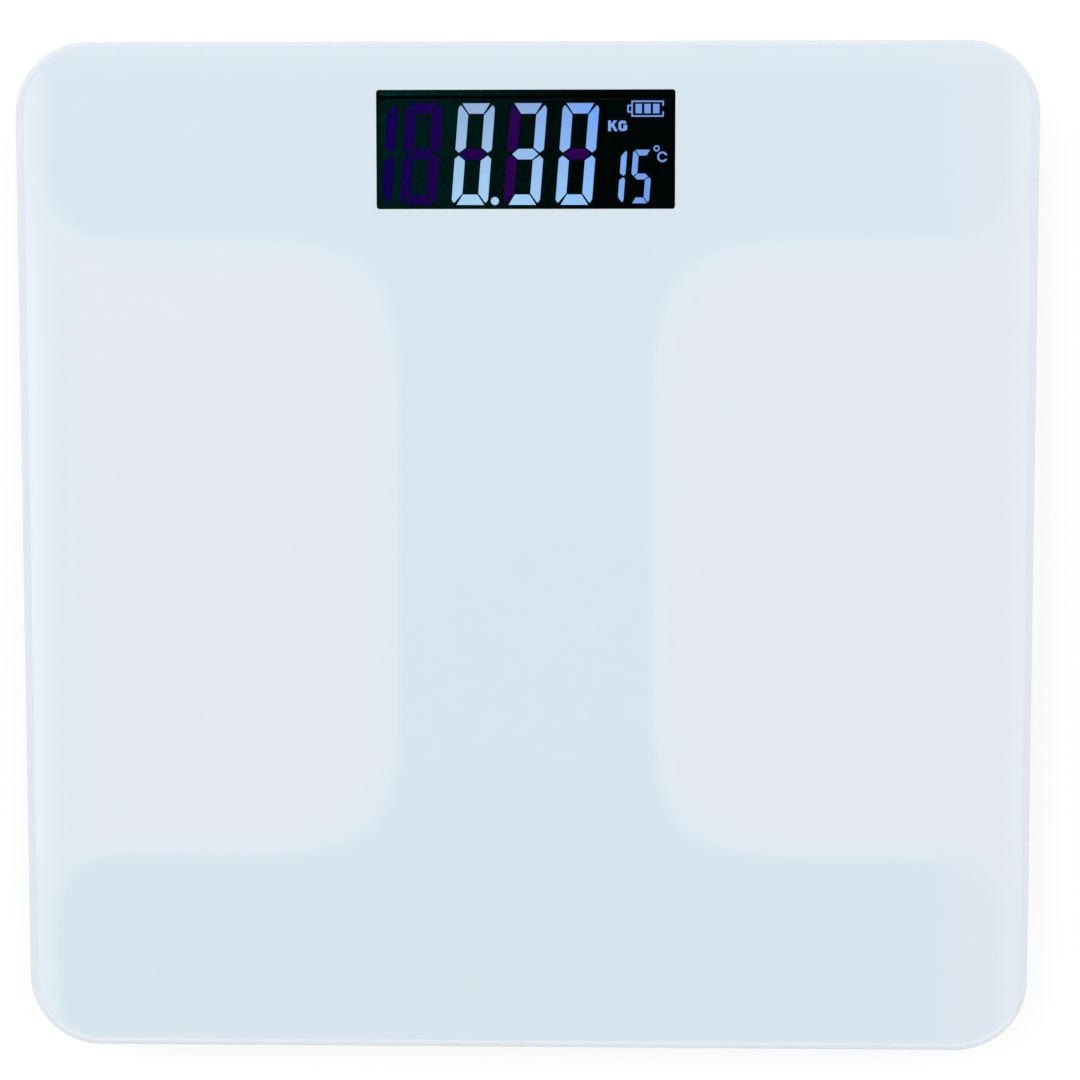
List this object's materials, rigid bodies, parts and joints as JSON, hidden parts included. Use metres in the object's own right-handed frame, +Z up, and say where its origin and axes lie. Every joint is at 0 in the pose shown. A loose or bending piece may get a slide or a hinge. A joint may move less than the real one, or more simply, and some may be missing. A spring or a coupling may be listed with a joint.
{
  "type": "bathroom scale",
  "caption": "Square glass platform scale on an I-shaped base with weighing feet, a lit digital display, a unit button and a sliding battery door",
  "frame": {"origin": "on the floor below the middle of the glass platform", "axes": "+Z up, +Y towards the display, +X to the right of a person who reads it"},
  "size_m": [0.28, 0.28, 0.0235],
  "materials": {
    "platform_glass": "clear tempered glass with a ground edge",
    "white_print": "white translucent fired print",
    "adhesive": "cured white silicone bead",
    "white_abs": "moulded white plastic, fine grain",
    "grey_abs": "moulded pale grey plastic",
    "black_plastic": "moulded black plastic",
    "foot_rubber": "dark grey non-slip rubber",
    "spring_steel": "stamped alloy steel, nickel plated",
    "screw_steel": "zinc-plated steel",
    "potting": "white silicone potting",
    "display_glass": "thin display glass with dark polariser",
    "dark_glass": "rear display glass with black ground",
    "seal_resin": "dark sealing resin",
    "lit_segment": "pale blue lit segment",
    "unlit_segment": "dark purple unlit segment",
    "black_foam": "black closed-cell foam",
    "light_guide": "clear acrylic light guide",
    "reflector": "white reflective film",
    "lamp": "white lamp package",
    "striped_rubber": "layered conductive rubber",
    "board": "green glass-fibre board",
    "black_resin": "black resin",
    "component": "mixed component bodies",
    "bead_resin": "brown resin bead",
    "lead_wire": "tinned lead wire",
    "red_wire": "red insulation",
    "black_wire": "black insulation",
    "white_wire": "white insulation",
    "battery_can": "nickel-plated steel can",
    "battery_sleeve": "plain dark shrink sleeve",
    "contact_metal": "nickel-plated spring steel"
  },
  "bodies": {
    "scale_body": {"glass_platform": "platform_glass", "back_print": "white_print", "glue_bead": "adhesive", "base_shell": "white_abs", "lcd_front_glass": "display_glass", "lcd_rear_glass": "dark_glass", "lcd_seal": "seal_resin", "lit_segments": "lit_segment", "unlit_segments": "unlit_segment", "window_gasket": "black_foam", "light_guide": "light_guide", "reflector_sheet": "reflector", "backlight_leds": "lamp", "contact_strip": "striped_rubber", "display_frame": "black_plastic", "display_screws": "screw_steel", "main_board": "board", "controller_blob": "black_resin", "board_components": "component", "unit_switch": "black_plastic", "thermistor": "bead_resin", "thermistor_leads": "lead_wire", "battery_cells": "battery_can", "battery_sleeves": "battery_sleeve", "contact_plus": "contact_metal", "contact_minus": "contact_metal", "contact_bridge": "contact_metal", "battery_wire_red": "red_wire", "battery_wire_black": "black_wire", "cell_screws": "screw_steel", "strain_gauges": "potting", "cell_wires_black": "black_wire", "cell_wires_white": "white_wire", "cell_wires_red": "red_wire", "load_cell_rear_left": "spring_steel", "cell_carrier_rear_left": "white_abs", "load_cell_rear_right": "spring_steel", "cell_carrier_rear_right": "white_abs", "load_cell_front_left": "spring_steel", "cell_carrier_front_left": "white_abs", "load_cell_front_right": "spring_steel", "cell_carrier_front_right": "white_abs"},
    "battery_door": {"battery_door": "white_abs"},
    "unit_button": {"unit_button": "grey_abs", "switch_plunger": "black_plastic"},
    "foot_rear_left": {"foot_cap_rear_left": "grey_abs", "foot_pad_rear_left": "foot_rubber", "foot_screw_rear_left": "screw_steel"},
    "foot_rear_right": {"foot_cap_rear_right": "grey_abs", "foot_pad_rear_right": "foot_rubber", "foot_screw_rear_right": "screw_steel"},
    "foot_front_left": {"foot_cap_front_left": "grey_abs", "foot_pad_front_left": "foot_rubber", "foot_screw_front_left": "screw_steel"},
    "foot_front_right": {"foot_cap_front_right": "grey_abs", "foot_pad_front_right": "foot_rubber", "foot_screw_front_right": "screw_steel"}
  },
  "joints": [
    {"name": "foot_rear_left_press", "type": "slide", "parent": "scale_body", "child": "foot_rear_left", "axis": [0, 0, 1], "range_m": [0, 0.0008], "stiffness_N_per_m": 500, "deforming": ["load_cell_rear_left"]},
    {"name": "foot_rear_right_press", "type": "slide", "parent": "scale_body", "child": "foot_rear_right", "axis": [0, 0, 1], "range_m": [0, 0.0008], "stiffness_N_per_m": 500, "deforming": ["load_cell_rear_right"]},
    {"name": "foot_front_left_press", "type": "slide", "parent": "scale_body", "child": "foot_front_left", "axis": [0, 0, 1], "range_m": [0, 0.0008], "stiffness_N_per_m": 500, "deforming": ["load_cell_front_left"]},
    {"name": "foot_front_right_press", "type": "slide", "parent": "scale_body", "child": "foot_front_right", "axis": [0, 0, 1], "range_m": [0, 0.0008], "stiffness_N_per_m": 500, "deforming": ["load_cell_front_right"]},
    {"name": "battery_door_slide", "type": "slide", "parent": "scale_body", "child": "battery_door", "axis": [0, -1, 0], "range_m": [0, 0.0563]},
    {"name": "unit_button_press", "type": "slide", "parent": "scale_body", "child": "unit_button", "axis": [0, 0, 1], "range_m": [0, 0.0006], "stiffness_N_per_m": 1500}
  ]
}
